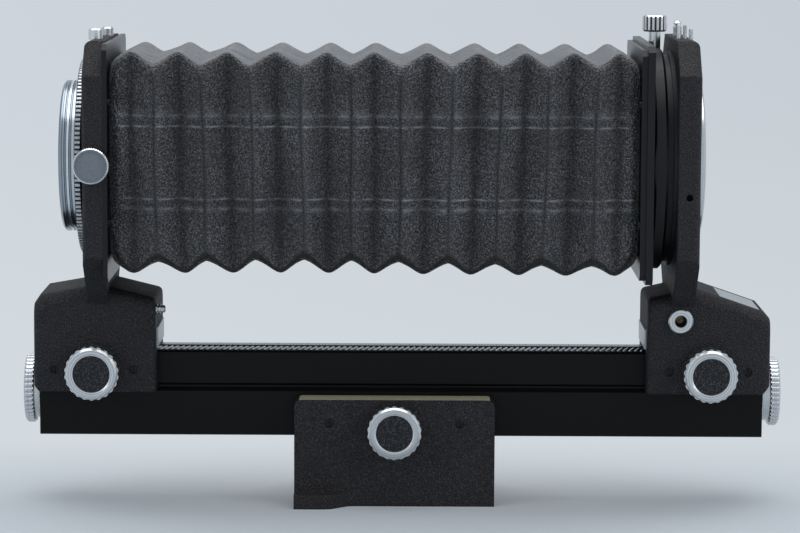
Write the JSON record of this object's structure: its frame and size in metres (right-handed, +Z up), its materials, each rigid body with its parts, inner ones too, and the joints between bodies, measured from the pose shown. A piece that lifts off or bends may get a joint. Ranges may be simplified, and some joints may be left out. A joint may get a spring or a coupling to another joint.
{
  "type": "camera macro bellows",
  "caption": "Rail-mounted close-up bellows for a reflex camera: two rack-driven standards, pleated leather bellows, turning camera flange and a tripod carriage.",
  "frame": {"origin": "mouth of the tripod socket, in the middle of the carriage's foot", "axes": "+X runs from the camera end to the lens end, -Y is the side with the three lock knobs, +Z is up"},
  "size_m": [0.2574, 0.0792, 0.1657],
  "materials": {
    "casting": "wrinkle",
    "rail": "satin",
    "rack": "satin",
    "scale": "matte",
    "chrome": "polished",
    "satin_metal": "satin",
    "wheel": "satin",
    "leatherette": "grained",
    "bellows": "grained",
    "frame": "matte",
    "brass": "machined",
    "steel": "machined"
  },
  "bodies": {
    "carriage": {"tripod_block": "casting", "tripod_bushing": "brass", "carriage_keys": "brass", "carriage_gib": "brass", "carriage_gib_screws": "steel", "carriage_bush": "brass"},
    "carriage_lock": {"carriage_lock_knob": "chrome", "carriage_lock_insert": "leatherette"},
    "carriage_drive": {"carriage_pinion": "steel", "carriage_drive_knob": "chrome", "carriage_drive_insert": "leatherette"},
    "rail": {"rail": "rail", "racks": "rack", "rail_scale": "scale", "bellows_rear": "bellows", "bellows_front": "bellows"},
    "rear_wheel": {"rear_end_wheel": "wheel"},
    "front_wheel": {"front_end_wheel": "wheel"},
    "rear_standard": {"rear_standard": "casting", "rear_gib": "brass", "rear_gib_screws": "steel", "rear_index_plate": "scale", "rear_pinion_bush": "brass", "rear_bellows_frame": "frame", "rear_frame_screws": "steel", "rear_top_post": "satin_metal", "rear_stub": "satin_metal"},
    "rear_lock": {"rear_lock_knob": "chrome", "rear_lock_insert": "leatherette"},
    "rear_drive": {"rear_pinion": "steel", "rear_drive_knob": "chrome", "rear_drive_insert": "leatherette"},
    "camera_turret": {"camera_flange": "satin_metal", "camera_grip_ring": "satin_metal", "turret_keeper": "frame", "turret_screws": "steel"},
    "turret_lock": {"rotation_lock_knob": "satin_metal"},
    "rear_button": {"rear_release_button": "chrome"},
    "front_standard": {"front_standard": "casting", "front_gib": "brass", "front_gib_screws": "steel", "front_index_plate": "scale", "front_pinion_bush": "brass", "lens_mount_ring": "chrome", "lens_mount_screws": "chrome", "name_plate": "scale", "release_socket": "chrome", "clamp_ring": "casting", "front_top_posts": "satin_metal", "spigot_frame": "frame", "front_bellows_frame": "frame", "front_frame_screws": "steel"},
    "front_lock": {"front_lock_knob": "chrome", "front_lock_insert": "leatherette"},
    "front_drive": {"front_pinion": "steel", "front_drive_knob": "chrome", "front_drive_insert": "leatherette"},
    "clamp_screw": {"clamp_screw": "chrome"},
    "release_plunger": {"release_plunger": "brass"},
    "lens_button": {"lens_release_button": "chrome"}
  },
  "joints": [
    {"name": "rail_travel", "type": "slide", "parent": "carriage", "child": "rail", "axis": [1, 0, 0], "range_m": [-0.08, 0.08]},
    {"name": "camera_standard_travel", "type": "slide", "parent": "rail", "child": "rear_standard", "axis": [1, 0, 0], "range_m": [0, 0.07], "deforming": ["bellows_rear"]},
    {"name": "lens_standard_travel", "type": "slide", "parent": "rail", "child": "front_standard", "axis": [1, 0, 0], "range_m": [-0.07, 0], "deforming": ["bellows_front"]},
    {"name": "carriage_drive_turn", "type": "hinge", "parent": "carriage", "child": "carriage_drive", "pos_m": [0, 0.02, 0.01896], "axis": [0, 1, 0], "range_deg": [-1080, 1080]},
    {"name": "camera_drive_turn", "type": "hinge", "parent": "rear_standard", "child": "rear_drive", "pos_m": [-0.1016, 0.018, 0.05599], "axis": [0, 1, 0], "range_deg": [-10, 930]},
    {"name": "lens_drive_turn", "type": "hinge", "parent": "front_standard", "child": "front_drive", "pos_m": [0.106, 0.018, 0.05599], "axis": [0, 1, 0], "range_deg": [-930, 10]},
    {"name": "carriage_lock_turn", "type": "hinge", "parent": "carriage", "child": "carriage_lock", "pos_m": [0, -0.02, 0.0267], "axis": [0, -1, 0], "range_deg": [0, 270]},
    {"name": "camera_lock_turn", "type": "hinge", "parent": "rear_standard", "child": "rear_lock", "pos_m": [-0.1016, -0.018, 0.0461], "axis": [0, -1, 0], "range_deg": [0, 270]},
    {"name": "lens_lock_turn", "type": "hinge", "parent": "front_standard", "child": "front_lock", "pos_m": [0.106, -0.018, 0.0461], "axis": [0, -1, 0], "range_deg": [0, 270]},
    {"name": "camera_end_wheel_turn", "type": "hinge", "parent": "rail", "child": "rear_wheel", "pos_m": [-0.1208, 0, 0.03705], "axis": [-1, 0, 0], "continuous": true},
    {"name": "lens_end_wheel_turn", "type": "hinge", "parent": "rail", "child": "front_wheel", "pos_m": [0.1252, 0, 0.03705], "axis": [1, 0, 0], "continuous": true},
    {"name": "camera_turret_turn", "type": "hinge", "parent": "rear_standard", "child": "camera_turret", "pos_m": [-0.10435, 0, 0.1171], "axis": [1, 0, 0], "range_deg": [0, 90]},
    {"name": "turret_lock_turn", "type": "hinge", "parent": "rear_standard", "child": "turret_lock", "pos_m": [-0.1, -0.037, 0.1171], "axis": [0, -1, 0], "range_deg": [0, 180]},
    {"name": "clamp_screw_turn", "type": "hinge", "parent": "front_standard", "child": "clamp_screw", "pos_m": [0.08755, 0, 0.1547], "axis": [0, 0, 1], "range_deg": [0, 360]},
    {"name": "plunger_press", "type": "slide", "parent": "front_standard", "child": "release_plunger", "axis": [0, 1, 0], "range_m": [0, 0.003], "stiffness_N_per_m": 120, "springref_m": -0.001},
    {"name": "lens_button_press", "type": "slide", "parent": "front_standard", "child": "lens_button", "axis": [0, 0, -1], "range_m": [0, 0.0015], "stiffness_N_per_m": 300, "springref_m": -0.0005},
    {"name": "camera_button_press", "type": "slide", "parent": "rear_standard", "child": "rear_button", "axis": [0, 0, -1], "range_m": [0, 0.0015], "stiffness_N_per_m": 300, "springref_m": -0.0005}
  ],
  "couplings": [
    {"joint": "carriage_drive_turn", "follows": "rail_travel", "rad_per_m": 227.69},
    {"joint": "camera_drive_turn", "follows": "camera_standard_travel", "rad_per_m": 227.69},
    {"joint": "lens_drive_turn", "follows": "lens_standard_travel", "rad_per_m": 227.69}
  ]
}
